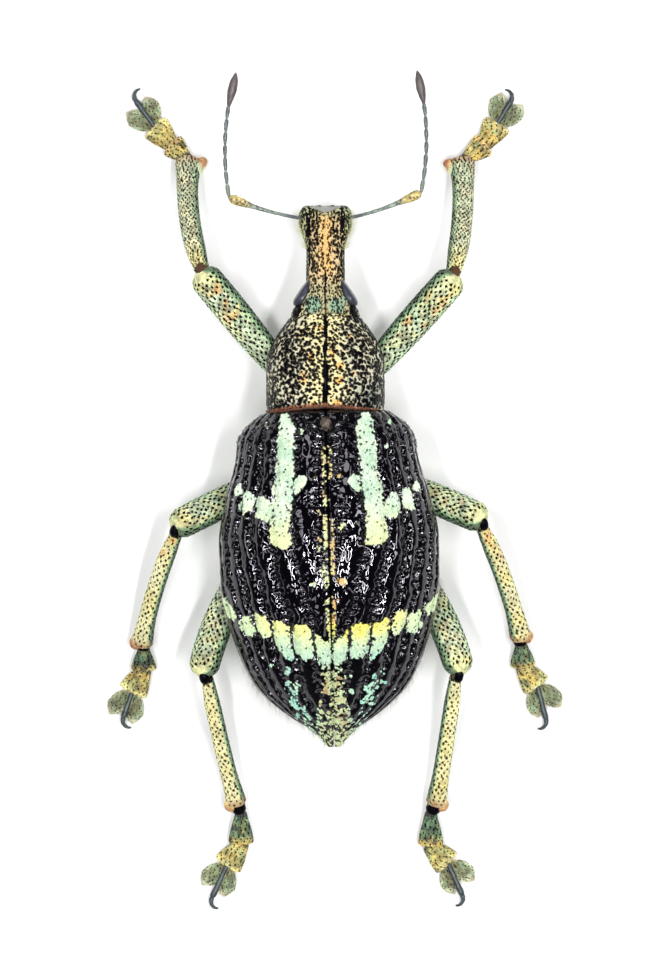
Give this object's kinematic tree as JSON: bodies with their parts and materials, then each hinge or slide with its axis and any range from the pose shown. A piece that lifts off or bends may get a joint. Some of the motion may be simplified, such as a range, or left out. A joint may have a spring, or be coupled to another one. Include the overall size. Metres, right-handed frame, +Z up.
{
  "type": "weevil",
  "caption": "Life-size broad-bodied weevil, standing: long straight snout, elbowed antennae spread forward, domed ridged wing cases, stout legs and two-lobed feet.",
  "frame": {"origin": "middle of the whole outline seen from above, at floor level, under the feet", "axes": "+Y towards the head, +X towards the beetle's right side, +Z up"},
  "size_m": [0.021, 0.0388, 0.0095],
  "materials": {
    "wing_case": "glossy black cuticle with bands of mint green and yellow scales",
    "mottled_scales": "black cuticle with yellow, orange and green scales between granules",
    "green_scales": "green scales with black dots",
    "cream_scales": "cream and yellow-green scales with black dots",
    "slate_cuticle": "slate grey cuticle with short pale hairs",
    "eye": "dark blue-grey, glossy"
  },
  "bodies": {
    "root": {"elytron_left": "wing_case", "elytron_right": "wing_case", "abdomen": "green_scales", "thorax": "green_scales", "scutellum": "wing_case", "pronotum": "mottled_scales", "head": "mottled_scales", "eye_left": "eye", "eye_right": "eye", "scape_left": "slate_cuticle", "scape_right": "slate_cuticle", "flagellum_left": "slate_cuticle", "flagellum_right": "slate_cuticle", "femur_fore_left": "green_scales", "femur_fore_right": "green_scales", "femur_mid_left": "green_scales", "femur_mid_right": "green_scales", "femur_hind_left": "green_scales", "femur_hind_right": "green_scales", "tibia_fore_left": "cream_scales", "tibia_fore_right": "cream_scales", "tibia_mid_left": "cream_scales", "tibia_mid_right": "cream_scales", "tibia_hind_left": "cream_scales", "tibia_hind_right": "cream_scales", "tarsus_fore_left": "cream_scales", "tarsus_fore_right": "cream_scales", "tarsus_mid_left": "cream_scales", "tarsus_mid_right": "cream_scales", "tarsus_hind_left": "cream_scales", "tarsus_hind_right": "cream_scales"}
  },
  "joints": []
}
